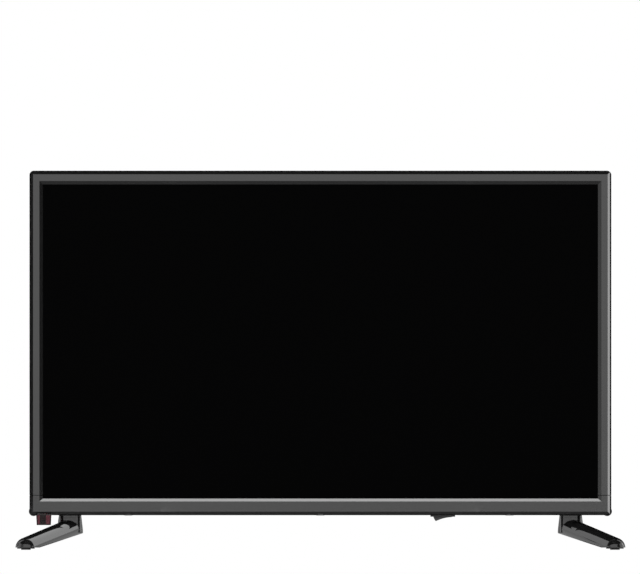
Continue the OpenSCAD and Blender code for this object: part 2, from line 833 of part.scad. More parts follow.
// White tray that lines the back pan, pierced for the lenses
module reflector_sheet() {
  face = strip_face - reflector_t;
  color("white") placed() difference() {
    screen_frustum(tray_grow(pan_y), tray_grow(strip_face), pan_y, strip_face);
    screen_frustum(
      tray_grow(pan_y - cut) - reflector_skin, tray_grow(face) - reflector_skin,
      pan_y - cut, face);
    for (x = lens_x, z = strip_z) rod_y([x, z], lens_dia / 2 + lens_room, face - cut, strip_face + cut);
  }
}

module light_strips() {
  color("gainsboro") placed() for (z = strip_z)
    block([-strip_l / 2, strip_face, z - strip_w / 2], [strip_l / 2, pan_floor_y, z + strip_w / 2]);
}

// Dimpled lenses that spread the light of each strip
module light_lenses() {
  r = lens_dia / 2;
  color("lightblue") placed() for (x = lens_x, z = strip_z) translate([x, strip_face, z]) rotate([90, 0, 0])
    rotate_extrude() polygon([for (s = lens_shares) [s[0] * r, s[1] * lens_h]]);
}

module back_pan() {
  color("silver") placed() difference() {
    union() {
      screen_plate(cell_margin, pan_y, pan_y + pan_t);
      screen_frustum(pan_grow(pan_y), pan_grow(pan_rear), pan_y, pan_rear);
    }
    screen_frustum(
      pan_grow(pan_y - cut) - pan_skin, pan_grow(pan_floor_y) - pan_skin,
      pan_y - cut, pan_floor_y);
  }
}

module source_board() {
  color("darkgreen") placed()
    block([-source_w / 2, pan_rear, source_z], [source_w / 2, pan_rear + source_t, source_z + source_h]);
}

// Flat cable from the source board down the back pan to its plug on the main board
module ribbon_path() {
  bend = [board_z + main_h + ribbon_bend[0], board_z + main_h + ribbon_bend[1]];
  face = comp_y + plug_t / 2;
  polygon([
    [pan_rear, source_z], [pan_rear, bend[0]], [face - ribbon_t, bend[1]], [face - ribbon_t, ribbon_end],
    [face, ribbon_end], [face, bend[1] + ribbon_t], [pan_rear + ribbon_t, bend[0] + ribbon_t],
    [pan_rear + ribbon_t, source_z]]);
}
module panel_ribbon() {
  color("white") placed() along_x(ribbon_x - ribbon_w / 2, ribbon_x + ribbon_w / 2) ribbon_path();
}

// Circuit boards with their screw holes
module board(x, z, w, h, holes) {
  difference() {
    block([x - w / 2, board_y, z], [x + w / 2, comp_y, z + h]);
    for (p = holes) rod_y(p, pilot_r, board_y - cut, comp_y + cut);
  }
}
module main_board() {
  color("darkgreen") placed() board(main_x, board_z, main_w, main_h, main_holes);
}
module power_board() {
  color("olivedrab") placed() board(power_x, power_z, power_w, power_h, power_holes);
}

// Chip outline on a board's rear face, from its centre and size
module chip(at, size) {
  block([at[0] - size[0] / 2, comp_y, at[1] - size[2] / 2],
        [at[0] + size[0] / 2, comp_y + size[1], at[1] + size[2] / 2]);
}
module main_chips() {
  color("#222222") placed() {
    chip(sink_at, chip_size);
    for (side = [-1, 1])
      chip(sink_at + [sink_w / 2 + memory_step[0], side * memory_step[1]], memory_chip);
    chip(sink_at - [sink_w / 2, 0] + flash_step, flash_chip);
    chip([ribbon_x, ribbon_end - plug_l / 2], [ribbon_w + plug_over, plug_t, plug_l]);
  }
}
module heatsink() {
  base = comp_y + chip_size[1];
  pitch = (sink_w - sink_fin) / (sink_fins - 1);
  color("silver") placed() translate([sink_at[0] - sink_w / 2, base, sink_at[1] - sink_w / 2]) {
    cube([sink_w, sink_base, sink_w]);
    for (i = [0 : sink_fins - 1]) translate([i * pitch, 0, 0]) cube([sink_fin, sink_h, sink_w]);
  }
}
module tuner_can() {
  color("gainsboro") placed() block(
    [ports[4][0] - tuner[0] / 2, comp_y, socket_z + fit_gap],
    [ports[4][0] + tuner[0] / 2, comp_y + tuner[1], socket_z + tuner[2]]);
}

// Sockets along the bay's roof, with their mouths facing down
module socket(p, mouth_in, tongue_y) {
  x = p[0];
  w = p[1] / 2;
  inner = w - mouth_in;
  difference() {
    block([x - w, comp_y, bay_roof], [x + w, comp_y + p[2], socket_z]);
    block([x - inner, comp_y + mouth_in, bay_roof - cut],
          [x + inner, comp_y + p[2] - mouth_in, socket_z - socket_floor]);
  }
  block([x - inner + tongue_in, comp_y + tongue_y, bay_roof + tongue_in],
        [x + inner - tongue_in, comp_y + tongue_y + tongue_t, socket_z - tongue_in]);
}
module hdmi_sockets() {
  color("silver") placed() for (i = [0, 1]) socket(ports[i], shell_t, hdmi_h / 2 - tongue_t / 2);
}
module usb_socket() {
  color("silver") placed() socket(ports[2], shell_t, usb_tongue_in);
}
module audio_jack() {
  x = ports[3][0];
  color("#222222") placed() difference() {
    block([x - jack_w / 2, comp_y, bay_roof], [x + jack_w / 2, comp_y + jack_w, socket_z]);
    translate([x, comp_y + jack_w / 2, bay_roof - cut]) cylinder(d = jack_bore, h = socket_d + cut);
  }
}
module aerial_connector() {
  x = ports[4][0];
  y = comp_y + aerial_base / 2;
  color("gold") placed() difference() {
    union() {
      block([x - aerial_base / 2, comp_y, bay_roof], [x + aerial_base / 2, comp_y + aerial_base, socket_z]);
      translate([x, y, bay_roof - aerial_l]) cylinder(d = aerial_dia, h = aerial_l + cut);
    }
    translate([x, y, bay_roof - aerial_l - cut]) cylinder(d = aerial_hole, h = aerial_l);
  }
}

// Power board parts: wound transformer in its core, standing capacitors and a plate heatsink
module transformer() {
  w = trafo_w / 2;
  core = trafo_w / 4;
  color("goldenrod") placed() {
    difference() {
      block([trafo_at[0] - w, comp_y, trafo_at[1] - core],
            [trafo_at[0] + w, comp_y + trafo_h, trafo_at[1] + core]);
      block([trafo_at[0] - w + core, comp_y + core / 2, trafo_at[1] - core - cut],
            [trafo_at[0] + w - core, comp_y + trafo_h - core / 2, trafo_at[1] + core + cut]);
    }
    rod_y(trafo_at, w - core / 2, comp_y + core / 2, comp_y + trafo_h - core / 2);
  }
}
module power_capacitors() {
  color("midnightblue") placed() {
    rod_y(cap_at, cap_dia / 2, comp_y, cover_d - wall - cap_room);
    for (i = [0 : 2]) rod_y(
      [power_x + small_cap_off[0] + i * small_cap_pitch, power_z + small_cap_off[1]],
      small_cap[0] / 2, comp_y, comp_y + small_cap[1]);
  }
}
module power_heatsink() {
  color("silver") placed() translate([power_sink_at[0], comp_y, power_sink_at[1] - power_sink[2] / 2]) {
    cube(power_sink);
    translate([0, power_sink[1] - power_sink[0], 0]) cube([power_sink[1] / 2, power_sink[0], power_sink[2]]);
  }
}

// Two-pin mains inlet in the roof of its own bay
module mains_inlet() {
  low = [mains_x - inlet_w / 2, inlet_y - inlet_d / 2];
  high = [mains_x + inlet_w / 2, inlet_y + inlet_d / 2];
  grow = [inlet_flange[0], inlet_flange[0]];
  in = [inlet_wall, inlet_wall];
  recess_r = inlet_d / 2 - inlet_wall - inlet_gap;
  color("#1a1a1a") placed() {
    difference() {
      union() {
        along_z(bay_roof, bay_roof + inlet_h) rounded(low, high, inlet_r);
        along_z(bay_roof + wall, bay_roof + wall + inlet_flange[1])
          rounded(low - grow, high + grow, inlet_r);
      }
      along_z(bay_roof - cut, bay_roof + inlet_h - inlet_floor) rounded(low + in, high - in, recess_r);
    }
    for (side = [-1, 1]) translate([mains_x + side * inlet_pitch / 2, inlet_y, bay_roof + pin_in])
      cylinder(d = inlet_pin, h = inlet_h - inlet_floor);
  }
}

// Mains switch: flanged housing, rocker on trunnions and blade terminals
module switch_body() {
  l = switch_l / 2;
  w = switch_w / 2;
  pin = w - switch_wall + trunnion_l;
  face = cover_z - switch_flange_t;
  color("#141414") placed() translate([switch_x, switch_y, 0]) difference() {
    union() {
      along_z(face, cover_z) rounded(
        [-switch_flange_l / 2, -switch_flange_w / 2],
        [switch_flange_l / 2, switch_flange_w / 2], switch_flange_r);
      block([-l, -w, face], [l, w, cover_z + switch_h]);
    }
    block([switch_wall - l, switch_wall - w, face - cut],
          [l - switch_wall, w - switch_wall, pivot_z + switch_room]);
    rod_y([0, pivot_z], trunnion_dia / 2 + trunnion_gap, -pin - trunnion_gap, pin + trunnion_gap);
  }
}
module switch_rocker() {
  chord = sqrt(rocker_r * rocker_r - rocker_tip * rocker_tip);
  hollow_r = (chord * chord + rocker_hollow * rocker_hollow) / (2 * rocker_hollow);
  pin = rocker_w / 2 + rocker_gap + trunnion_l;
  color("#0c0c0c") placed() translate([switch_x, switch_y, pivot_z]) rotate([0, -rocker_tilt, 0]) {
    along_y(-rocker_w / 2, rocker_w / 2) difference() {
      intersection() {
        circle(rocker_r, $fn = 96);
        translate([-rocker_r, -rocker_r]) square([2 * rocker_r, rocker_r + rocker_inner]);
      }
      translate([0, rocker_hollow - rocker_tip - hollow_r]) circle(hollow_r, $fn = 192);
    }
    rod_y([0, 0], trunnion_dia / 2, -pin, pin);
  }
}
module switch_terminals() {
  color("gold") placed() for (side = [-1, 1])
    translate([switch_x + side * switch_l / 4, switch_y, cover_z + switch_h])
      translate(-[terminal[0], terminal[1], 0] / 2) cube(terminal);
}

// Receiver: hollow lens hung through the bottom rail, with its board and sensor inside
module ir_lens() {
  w = ir_w / 2;
  low = z_low - ir_h;
  top = z_low + skirt_in;
  color("#4a1418") placed() translate([ir_x, 0, 0]) difference() {
    union() {
      along_y(ir_y, ir_y + ir_d) both_sides([[w - ir_taper, low], [w, z_low], [w, top]]);
      block([-w - ir_flange, bezel_face_t, top], [w + ir_flange, ir_y + ir_d + ir_flange, top + ir_flange]);
    }
    along_y(ir_y + ir_wall, ir_y + ir_d - ir_wall) both_sides([
      [w - ir_taper - ir_wall, low + ir_wall], [w - ir_wall, z_low], [w - ir_wall, top + ir_flange + cut]]);
  }
}
module ir_board() {
  low = z_low - ir_h + ir_wall;
  color("darkgreen") placed()
    block([ir_board_x - ir_board_w / 2, ir_board_y, low],
          [ir_board_x + ir_board_w / 2, ir_board_y + ir_board_t, z_low + skirt_in + ir_board_rise]);
}
module ir_sensor() {
  at = [ir_board_x, ir_board_y, z_low - ir_h / 2];
  color("black") placed() {
    translate(at - [ir_chip[0] / 2, ir_chip[1], ir_chip[2] / 2]) cube(ir_chip);
    translate(at - [0, ir_chip[1], 0]) rotate([90, 0, 0])
      cylinder(d1 = ir_dome_dia[0], d2 = ir_dome_dia[1], h = ir_dome);
  }
}

// Speakers: hollow boxes on the cover's floor, with drivers that fire down through its slots
module speaker_boxes() {
  color("#2a2a2a") placed() for (side = [-1, 1]) translate([side * speaker_x, 0, 0]) difference() {
    along_z(speaker_z, speaker_z + speaker_h)
      rounded([-speaker_w / 2, speaker_y0], [speaker_w / 2, speaker_y0 + speaker_d], speaker_r[0]);
    along_z(speaker_z + speaker_t, speaker_z + speaker_h - speaker_t) rounded(
      [speaker_t - speaker_w / 2, speaker_y0 + speaker_t],
      [speaker_w / 2 - speaker_t, speaker_y0 + speaker_d - speaker_t], speaker_r[1]);
    translate([0, speaker_y0 + speaker_d / 2, speaker_z - cut])
      cylinder(d = driver_dia, h = speaker_t + 2 * cut);
  }
}
module speaker_cones() {
  r = driver_dia / 2;
  color("#333333") placed() for (side = [-1, 1])
    translate([side * speaker_x, speaker_y0 + speaker_d / 2, speaker_z + speaker_t])
      rotate_extrude() polygon(concat([for (s = cone_shares) [s[0] * r, s[1] * driver_h]], [
        [r + cone_rim, 0], [r + cone_rim, cone_rim], [r * cone_top, driver_h], [0, driver_h]]));
}
module speaker_magnets() {
  color("gray") placed() for (side = [-1, 1])
    translate([side * speaker_x, speaker_y0 + speaker_d / 2, speaker_z + speaker_t + driver_h]) {
      cylinder(d = driver_dia * magnet_share[0], h = magnet_h[0]);
      cylinder(d = driver_dia * magnet_share[1], h = magnet_h[1]);
    }
}

// Leg of a foot: a round bar that falls from the neck to a domed tip, cut flat underneath
module leg_bar(tip, r) {
  run = norm(tip - leg_root);
  heading = atan2(tip[1] - leg_root[1], tip[0] - leg_root[0]);
  tilt = atan2(crown_z - tip_ridge, run);
  length = leg_back + run / cos(tilt);
  translate([leg_root[0], leg_root[1], crown_z - r / cos(tilt)])
    rotate([0, 90 + tilt, heading]) translate([0, 0, -leg_back]) rotate_extrude() intersection() {
      union() {
        square([r, length]);
        translate([0, length]) circle(r);
      }
      square([r, length + r]);
    }
}
module leg(tip, r) {
  run = norm(tip - leg_root);
  heading = atan2(tip[1] - leg_root[1], tip[0] - leg_root[0]);
  under_run = run - pad_dia / 2;
  under_fall = (root_under - pad_t) / under_run;
  intersection() {
    leg_bar(tip, r);
    translate([leg_root[0], leg_root[1], 0]) rotate([0, 0, heading]) along_y(-2 * r, 2 * r) polygon([
      [-2 * leg_back, root_under + 2 * under_fall * leg_back], [under_run, pad_t], [run + 2 * r, pad_t],
      [run + 2 * r, crown_z], [-2 * leg_back, crown_z]]);
  }
}

// Side of the foot's flat inner face on which a leg may lie, between two depths
module leg_room(y0, y1) {
  far = neck_x + leg_reach + 2 * front_leg_r;
  along_y(y0, y1) polygon([
    [neck_x - neck_half, cover_z], [neck_x - neck_half - neck_flare[1], cover_z - neck_drop[3]],
    [neck_x - neck_half - neck_flare[0], 0], [far, 0], [far, cover_z]]);
}

// Neck column under the cover
module neck() {
  intersection() {
    along_z(0, cover_z) translate([neck_x, foot_y]) rounded(
      [-neck_half - neck_flare[1], -neck_d / 2], [neck_half + neck_flare[0], neck_d / 2], neck_r);
    along_y(foot_y - neck_d, foot_y + neck_d) polygon([
      [neck_x + neck_half, cover_z], [neck_x + neck_half + neck_flare[0], cover_z - neck_drop[0]],
      [neck_x + neck_half + neck_flare[0], cover_z - neck_drop[1]],
      [neck_x - neck_half - neck_flare[0], cover_z - neck_drop[2]],
      [neck_x - neck_half - neck_flare[1], cover_z - neck_drop[3]], [neck_x - neck_half, cover_z]]);
  }
}
module foot() {
  overlap = neck_d / 2 - neck_r;
  difference() {
    union() {
      neck();
      intersection() {
        leg(front_tip, front_leg_r);
        leg_room(front_tip[1] - 2 * front_leg_r, foot_y + overlap);
      }
      intersection() {
        leg(rear_tip, rear_leg_r);
        leg_room(foot_y - overlap, rear_tip[1] + 2 * rear_leg_r);
      }
    }
    for (dy = [-foot_screw_y, foot_screw_y]) translate([neck_x, foot_y + dy, 0]) {
      cylinder(d = foot_head[0] + 2 * fit_gap, h = foot_seat);
      cylinder(d = foot_screw_dia + fit_gap, h = cover_z + cut);
    }
  }
}
module foot_left() {
  color("#1b1b1c") placed() mirror([1, 0, 0]) foot();
}
module foot_right() {
  color("#1b1b1c") placed() foot();
}
module foot_pads() {
  color("#111111") placed() for (side = [-1, 1], tip = [front_tip, rear_tip])
  translate([side * tip[0], tip[1], 0]) {
    cylinder(d = pad_dia * pad_step[0], h = pad_t);
    translate([0, 0, pad_step[1]]) cylinder(d = pad_dia, h = pad_t - pad_step[1]);
  }
}
module foot_brackets() {
  low = cover_z + wall;
  color("silver") placed() for (side = [-1, 1]) translate([side * neck_x, foot_y, low]) difference() {
    union() {
      block([-bracket_w / 2, -bracket_d / 2, 0], [bracket_w / 2, bracket_d / 2, bracket_t]);
      block([-bracket_w / 2, -bracket_d / 2, 0], [bracket_w / 2, -bracket_d / 2 + bracket_t, bracket_h]);
    }
    for (dy = [-foot_screw_y, foot_screw_y]) translate([0, dy, -cut])
      cylinder(d = foot_screw_dia + fit_gap, h = bracket_t + 2 * cut);
  }
}
module foot_screws() {
  tip = cover_z + wall + bracket_t + foot_screw_out;
  color("dimgray") placed() for (side = [-1, 1], dy = [-foot_screw_y, foot_screw_y])
    translate([side * neck_x, foot_y + dy, foot_seat - foot_head[1]]) difference() {
      union() {
        cylinder(d = foot_head[0], h = foot_head[1]);
        cylinder(d = foot_screw_dia, h = tip - foot_seat + foot_head[1]);
      }
      drive_cross(foot_head[0]);
    }
}

// Fixings
module wall_mount_posts() {
  rear = cover_d - wall;
  color("silver") placed() for (p = vesa_points) difference() {
    rod_y(p, vesa_post_dia / 2, pan_rear, rear);
    rod_y(p, vesa_bore / 2, rear - vesa_depth, rear + cut);
  }
}
module rear_bumpers() {
  r = bumper_dia / 2;
  color("#101010") placed() for (side = [-1, 1])
    translate([side * bumper_pitch / 2, cover_d, bumper_z]) rotate([-90, 0, 0]) rotate_extrude() polygon([
      [0, 0], [r + bumper_flare, 0], [r + bumper_flare / 3, bumper_flare / 3],
      [r, bumper_flare], [r, bumper_h], [0, bumper_h]]);
}
module board_standoffs() {
  color("goldenrod") placed() for (p = board_holes) difference() {
    rod_y(p, standoff_dia / 2, pan_rear, board_y);
    rod_y(p, pilot_r, board_y - screw_grip - cut, board_y + cut);
  }
}

// Screw with its head seated at one depth and its shank running forward
module screw_y(p, seat, grip) {
  rear = seat + screw_head_t;
  difference() {
    union() {
      rod_y(p, screw_head / 2, seat, rear);
      rod_y(p, screw_dia / 2, seat - grip, rear - screw_head_t / 2);
    }
    translate([p[0], rear, p[1]]) rotate([90, 0, 0]) drive_cross(screw_head);
  }
}
module board_screws() {
  color("silver") placed() for (p = board_holes) screw_y(p, comp_y, board_t + screw_grip);
}
module cover_screws() {
  color("dimgray") placed() for (p = cover_points) screw_y(p, rim_y, rim_t + screw_grip);
}
module rail_screws() {
  color("dimgray") placed() for (x = rail_screw_x)
  translate([x, rail_screw_y, z_low - rail_head_proud]) difference() {
    union() {
      cylinder(d = flat_head, h = rail_head_t);
      cylinder(d = screw_dia, h = rail_head_proud + skirt_in + tab_t);
    }
    drive_cross(screw_head);
  }
}

bezel_upper_frame();
bezel_bottom_rail();
rear_cover();
lcd_cell();
mid_frame();
optical_sheets();
diffuser_plate();
reflector_sheet();
light_strips();
light_lenses();
back_pan();
source_board();
panel_ribbon();
main_board();
main_chips();
heatsink();
tuner_can();
hdmi_sockets();
usb_socket();
audio_jack();
aerial_connector();
power_board();
transformer();
power_capacitors();
power_heatsink();
mains_inlet();
switch_body();
switch_rocker();
switch_terminals();
ir_lens();
ir_board();
ir_sensor();
speaker_boxes();
speaker_cones();
speaker_magnets();
foot_left();
foot_right();
foot_pads();
foot_brackets();
foot_screws();
wall_mount_posts();
rear_bumpers();
board_standoffs();
board_screws();
cover_screws();
rail_screws();
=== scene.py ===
import json
import math

import bpy
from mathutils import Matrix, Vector

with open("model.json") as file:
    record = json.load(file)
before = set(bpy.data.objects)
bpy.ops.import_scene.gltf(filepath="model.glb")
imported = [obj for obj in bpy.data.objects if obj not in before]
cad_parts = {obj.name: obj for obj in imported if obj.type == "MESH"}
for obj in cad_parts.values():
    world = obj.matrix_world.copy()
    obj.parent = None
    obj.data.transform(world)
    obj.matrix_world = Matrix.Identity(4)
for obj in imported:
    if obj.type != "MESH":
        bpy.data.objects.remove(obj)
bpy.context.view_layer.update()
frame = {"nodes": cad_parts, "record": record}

nodes = frame["nodes"]
scene = bpy.context.scene
MM = 0.001


# Camera: a straight front elevation, with the picture's upper strip left empty above the set
PICTURE = (640, 574)
MM_PER_PIXEL = 1.2545
CENTRE_PIXEL = (320.4, 549.8)
VIEW_DISTANCE = 3.0


def make_camera():
    data = bpy.data.cameras.new("front_camera")
    data.type = "ORTHO"
    data.ortho_scale = PICTURE[0] * MM_PER_PIXEL * MM
    data.dof.use_dof = False
    camera = bpy.data.objects.new("front_camera", data)
    scene.collection.objects.link(camera)
    x = (PICTURE[0] / 2 - CENTRE_PIXEL[0]) * MM_PER_PIXEL * MM
    z = (CENTRE_PIXEL[1] - PICTURE[1] / 2) * MM_PER_PIXEL * MM
    camera.location = (x, -VIEW_DISTANCE, z)
    camera.rotation_euler = (math.radians(90), 0, 0)
    scene.camera = camera


# Small tools for node trees
class Tree:
    def __init__(self, tree):
        self.tree = tree
        tree.nodes.clear()

    def add(self, kind, **settings):
        node = self.tree.nodes.new(kind)
        for key, value in settings.items():
            if hasattr(node, key):
                setattr(node, key, value)
            else:
                node.inputs[key.replace("_", " ")].default_value = value
        return node

    def link(self, source, target):
        self.tree.links.new(source, target)


def colour(value):
    return (value[0], value[1], value[2], 1.0)


def scaled(value, factor):
    return tuple(min(1.0, v * factor) for v in value)


# World: white where it is seen, and a plain grey level where it lights the set
SEEN_WHITE = (1.0, 1.0, 1.0, 1.0)
AMBIENT = 0.42


def make_world():
    world = bpy.data.worlds.new("studio")
    scene.world = world
    world.use_nodes = True
    tree = Tree(world.node_tree)
    path = tree.add("ShaderNodeLightPath")
    first = tree.add("ShaderNodeMath", operation="MAXIMUM")
    tree.link(path.outputs["Is Camera Ray"], first.inputs[0])
    tree.link(path.outputs["Is Glossy Ray"], first.inputs[1])
    second = tree.add("ShaderNodeMath", operation="MAXIMUM")
    tree.link(first.outputs[0], second.inputs[0])
    tree.link(path.outputs["Is Transmission Ray"], second.inputs[1])
    light = tree.add("ShaderNodeBackground", Color=SEEN_WHITE, Strength=AMBIENT)
    seen = tree.add("ShaderNodeBackground", Color=SEEN_WHITE, Strength=1.0)
    mix = tree.add("ShaderNodeMixShader")
    tree.link(second.outputs[0], mix.inputs[0])
    tree.link(light.outputs[0], mix.inputs[1])
    tree.link(seen.outputs[0], mix.inputs[2])
    out = tree.add("ShaderNodeOutputWorld")
    tree.link(mix.outputs[0], out.inputs[0])


# Lamps: soft boxes above the front and beside the camera, and soft daylight from behind
def aimed(place, target):
    return (Vector(target) - Vector(place)).to_track_quat("-Z", "Y")


def add_lamp(name, data, place, target, in_mirrors):
    lamp = bpy.data.objects.new(name, data)
    scene.collection.objects.link(lamp)
    lamp.location = place
    lamp.rotation_mode = "QUATERNION"
    lamp.rotation_quaternion = aimed(place, target)
    lamp.visible_camera = False
    lamp.visible_glossy = in_mirrors


def soft_box(name, place, target, size, watts, in_mirrors):
    data = bpy.data.lights.new(name, "AREA")
    data.shape = "RECTANGLE"
    data.size = size[0]
    data.size_y = size[1]
    data.energy = watts
    add_lamp(name, data, place, target, in_mirrors)


def soft_sun(name, place, target, strength, spread):
    data = bpy.data.lights.new(name, "SUN")
    data.energy = strength
    data.angle = math.radians(spread)
    add_lamp(name, data, place, target, False)


BODY_MIDDLE = (0, 0, 0.25)
LOWER_LIP = (0, -0.02, 0.06)


def make_lamps():
    soft_box("lamp_above", (0, -0.53, 1.36), LOWER_LIP, size=(0.95, 0.2), watts=2.3, in_mirrors=True)
    soft_box("lamp_front", (0.3, -2.6, 1.4), BODY_MIDDLE, size=(1.6, 1.6), watts=26, in_mirrors=False)
    soft_sun("lamp_rear", (-1.3, 2.1, 1.3), BODY_MIDDLE, strength=2.0, spread=30)


# Stage pieces show their front and let every ray through from behind
def one_sided(tree, front):
    side = tree.add("ShaderNodeNewGeometry")
    back = tree.add("ShaderNodeBsdfTransparent")
    shader = tree.add("ShaderNodeMixShader")
    tree.link(side.outputs["Backfacing"], shader.inputs[0])
    tree.link(front.outputs[0], shader.inputs[1])
    tree.link(back.outputs[0], shader.inputs[2])
    out = tree.add("ShaderNodeOutputMaterial")
    tree.link(shader.outputs[0], out.inputs[0])


# Painted reflections: glowing sheets that only reflections meet and that light nothing. Black ones paint
# the dark edges and brighter ones paint bright reflections
def painted_reflection_plate(name, corners, seen_from, level):
    middle = sum((Vector(c) for c in corners), Vector()) / len(corners)
    following = corners[1:] + corners[:1]
    normal = sum((Vector(a).cross(Vector(b)) for a, b in zip(corners, following)), Vector())
    order = list(range(len(corners)))
    if normal.dot(Vector(seen_from) - middle) < 0:
        order.reverse()
    mesh = bpy.data.meshes.new(name)
    mesh.from_pydata(corners, [], [order])
    piece = bpy.data.objects.new(name, mesh)
    scene.collection.objects.link(piece)
    piece.visible_camera = False
    piece.visible_diffuse = False
    piece.visible_shadow = False
    piece.visible_transmission = False
    material = bpy.data.materials.new(name)
    material.use_nodes = True
    tree = Tree(material.node_tree)
    front = tree.add("ShaderNodeEmission", Color=SEEN_WHITE, Strength=level)
    one_sided(tree, front)
    mesh.materials.append(material)


def panel(name, place, target, size, level):
    turn = aimed(place, target)
    w = size[0] / 2
    h = size[1] / 2
    flat = ((-w, -h, 0), (w, -h, 0), (w, h, 0), (-w, h, 0))
    painted_reflection_plate(name, [Vector(place) + turn @ Vector(c) for c in flat], target, level)


def level_panel(name, x, y, z, facing, level):
    middle = (sum(x) / 2, sum(y) / 2, z)
    target = (middle[0], middle[1], z + facing)
    panel(name, middle, target, (x[1] - x[0], y[1] - y[0]), level)


def upright_panel(name, x, y, z, level):
    middle = (sum(x) / 2, y, sum(z) / 2)
    panel(name, middle, (middle[0], y + 1, middle[2]), (x[1] - x[0], z[1] - z[0]), level)


def side_panel(name, x, y, z, facing, level):
    middle = (x, sum(y) / 2, sum(z) / 2)
    panel(name, middle, (x + facing, middle[1], middle[2]), (y[1] - y[0], z[1] - z[0]), level)


def mirrored(span, side):
    return tuple(sorted(side * value for value in span))


UP = 1
DOWN = -1
LEFT = -1
RIGHT = 1
# Glow level of the black painted reflections
DARK_REFLECTION = 0.0

# Places of the painted-reflection sheets close to the floor, the rail and the feet, in metres
FLOOR_SKIN = -0.0002
LEG_SHADE = -0.0001
RAIL_FRONT = -0.0185
RAIL_UNDER = 0.0428
RAIL_SKIN = 0.040
NECK_FRONT = -0.010
NECK_SPAN = (0.02, 0.0432)
NECK_VIEW = (0.015, 0.05)
CROWN_EDGE = -0.0025
CROWN_INNER = 0.285
UNDER_INNER = 0.17
UNDER_BACK = 0.04
FLANK_LOW = (0.3205, 0.0215)
FLANK_INNER = 0.10
FLANK_TOP = 0.14
RIDGE_OUTER = 0.43
BEHIND = 0.2

# Glow levels of the painted reflections that the feet mirror, and where each ridge's painted reflection
# turns dark:
# at the top of the bright sheet in front of the rail, at the rail's front and at the crown
FOOT_REFLECTIONS = (
    (LEFT, "left", 2.1, (0.351, 0.3265, 0.3185)),
    (RIGHT, "right", 1.15, (0.256, 0.3133, 0.298)),
)
PLAIN_REFLECTION = 1.0


# Painted reflections away from the set: black sheets behind, above, at the left and at the front right.
# Glowing ones at the right, at the front left and on the floor, dim in front
def make_far_painted_reflections():
    panel("painted_dark_reflection_back_low", (0, 3, 0.2), (0, 0, 0.2), (5.6, 1.4), DARK_REFLECTION)
    panel("painted_dark_reflection_back_high", (0, 3, 2.05), (0, 0, 2.05), (2.3, 2.3), DARK_REFLECTION)
    panel("painted_dark_reflection_above", (0, 1.75, 3.2), (0, 1.75, 0), (2.3, 2.6), DARK_REFLECTION)
    panel("painted_dark_reflection_left", (-1.12, 0.235, 0.24), (-0.365, -0.015, 0.24), (0.2, 0.6), DARK_REFLECTION)
    panel("painted_bright_reflection_right", (1.12, 0.235, 0.24), (0.365, -0.015, 0.24), (0.2, 0.6), 2.95)
    panel("painted_dark_reflection_right_front", (1.05, -0.8, 0.26), (-0.355, -0.016, 0.26), (0.62, 0.9), DARK_REFLECTION)
    panel("painted_bright_reflection_left_front", (-1.05, -0.8, 0.26), (0.355, -0.016, 0.26), (0.62, 0.9), 0.42)
    level_panel("painted_dark_reflection_floor_front", (-0.55, 0.55), (-0.6, -0.1), FLOOR_SKIN, UP, 0.18)
    level_panel("painted_bright_reflection_floor", (-0.75, 0.75), (-0.1, 0.8), FLOOR_SKIN, UP, 1.1)


# Painted reflections close to the rail: a glowing sheet by the receiver window, dim sheets under the
# rail's front edge, and plain bright ones behind and under the set
def make_rail_painted_reflections():
    upright_panel("painted_bright_reflection_lens", (-0.358, -0.335), -0.03, (0.03, 0.0433), 0.45)
    level_panel("painted_dark_reflection_rail", (-0.44, 0.44), (-0.022, -0.008), RAIL_SKIN, UP, 0.14)
    level_panel("painted_dark_reflection_rail_under", (-0.44, 0.44), (-0.008, 0.04), RAIL_SKIN, UP, 0.02)
    behind = (0, BEHIND, RAIL_UNDER / 2)
    panel("painted_bright_reflection_behind", behind, (0, -1, RAIL_UNDER / 2), (1.0, RAIL_UNDER), PLAIN_REFLECTION)
    x = (-UNDER_INNER, UNDER_INNER)
    level_panel("painted_bright_reflection_under", x, (RAIL_FRONT, BEHIND), RAIL_UNDER, DOWN, PLAIN_REFLECTION)


# Painted reflections on each foot: black sheets over its crown and tip and at the edges of its neck, and
# glowing ones to either side of the neck
def make_neck_painted_reflections(side, name):
    x = mirrored((CROWN_INNER, 0.335), side)
    level_panel("painted_dark_reflection_crown_" + name, x, (CROWN_EDGE, 0.05), 0.0425, DOWN, DARK_REFLECTION)
    x = mirrored((0.245, 0.415), side)
    level_panel("painted_dark_reflection_tip_" + name, x, (-0.115, -0.07), 0.042, DOWN, DARK_REFLECTION)
    x = mirrored((0.3235, 0.3365), side)
    upright_panel("painted_dark_reflection_neck_out_" + name, x, NECK_FRONT, NECK_SPAN, DARK_REFLECTION)
    x = mirrored((0.289, 0.302), side)
    upright_panel("painted_dark_reflection_neck_in_" + name, x, NECK_FRONT, NECK_SPAN, DARK_REFLECTION)
    side_panel("painted_bright_reflection_neck_out_" + name, side * 0.6, (-0.16, 0.06), NECK_VIEW, -side, 1.7)
    side_panel("painted_bright_reflection_neck_in_" + name, -side * 0.2, (-0.346, -0.03), NECK_VIEW, side, 2.1)


